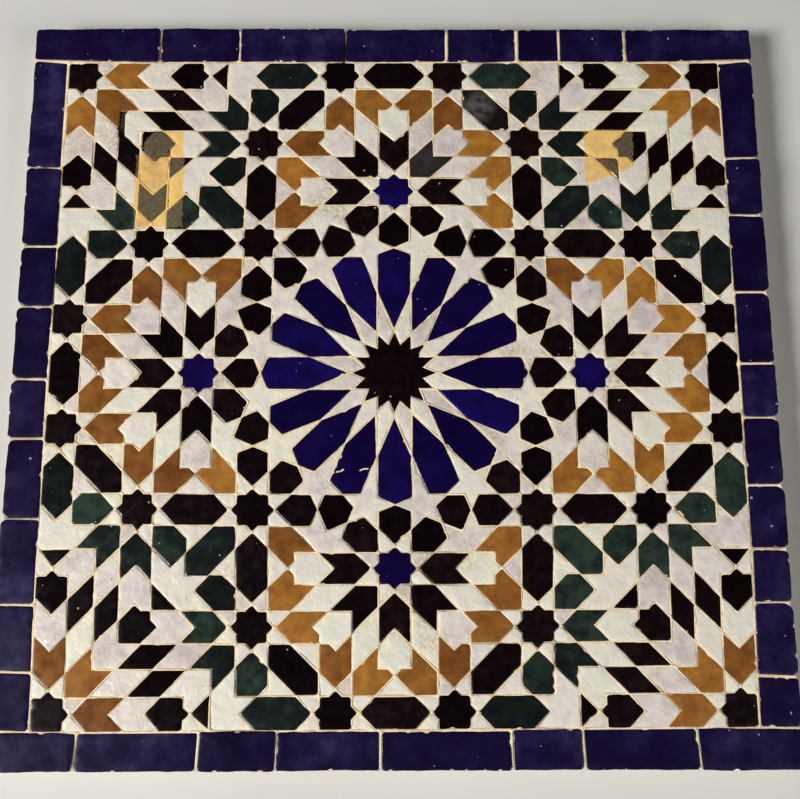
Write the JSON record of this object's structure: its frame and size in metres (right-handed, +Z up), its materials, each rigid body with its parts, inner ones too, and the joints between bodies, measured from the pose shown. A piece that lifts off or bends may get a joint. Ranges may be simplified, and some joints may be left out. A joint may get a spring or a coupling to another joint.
{
  "type": "zellige mosaic tile panel",
  "caption": "Square Moroccan zellige panel: hand-cut glazed tiles in a rosette-and-star pattern with a blue strip border, set face up on a mortar bed.",
  "frame": {"origin": "centre of the bed's flat back, which rests on the floor", "axes": "+Z up through the glazed faces, +X to the panel's right, +Y to the panel's top edge"},
  "size_m": [0.6502, 0.6502, 0.028],
  "materials": {
    "lime_mortar": "matte",
    "black_glaze": "gloss",
    "white_glaze": "gloss",
    "blue_glaze": "gloss",
    "green_glaze": "gloss",
    "ochre_glaze": "gloss"
  },
  "bodies": {
    "root": {"mortar_bed": "lime_mortar", "hub_star": "black_glaze", "ring_lanterns": "black_glaze", "black_stars": "black_glaze", "black_arrows": "black_glaze", "black_hexagons": "black_glaze", "black_parallelograms": "black_glaze", "black_houses": "black_glaze", "black_triangles": "black_glaze", "rosette_petals": "blue_glaze", "blue_stars": "blue_glaze", "border_top": "blue_glaze", "border_bottom": "blue_glaze", "border_left": "blue_glaze", "border_right": "blue_glaze", "rosette_spikes": "white_glaze", "rosette_darts": "white_glaze", "rosette_crowns": "white_glaze", "star_kites": "white_glaze", "white_houses": "white_glaze", "white_triangles": "white_glaze", "white_rhombs": "white_glaze", "white_fillers": "white_glaze", "white_chevrons": "white_glaze", "white_hooked_arrows": "white_glaze", "white_great_tiles": "white_glaze", "green_hexagons": "green_glaze", "green_houses": "green_glaze", "green_arrows": "green_glaze", "ochre_hooked_arrows": "ochre_glaze", "ochre_arrows": "ochre_glaze"}
  },
  "joints": []
}
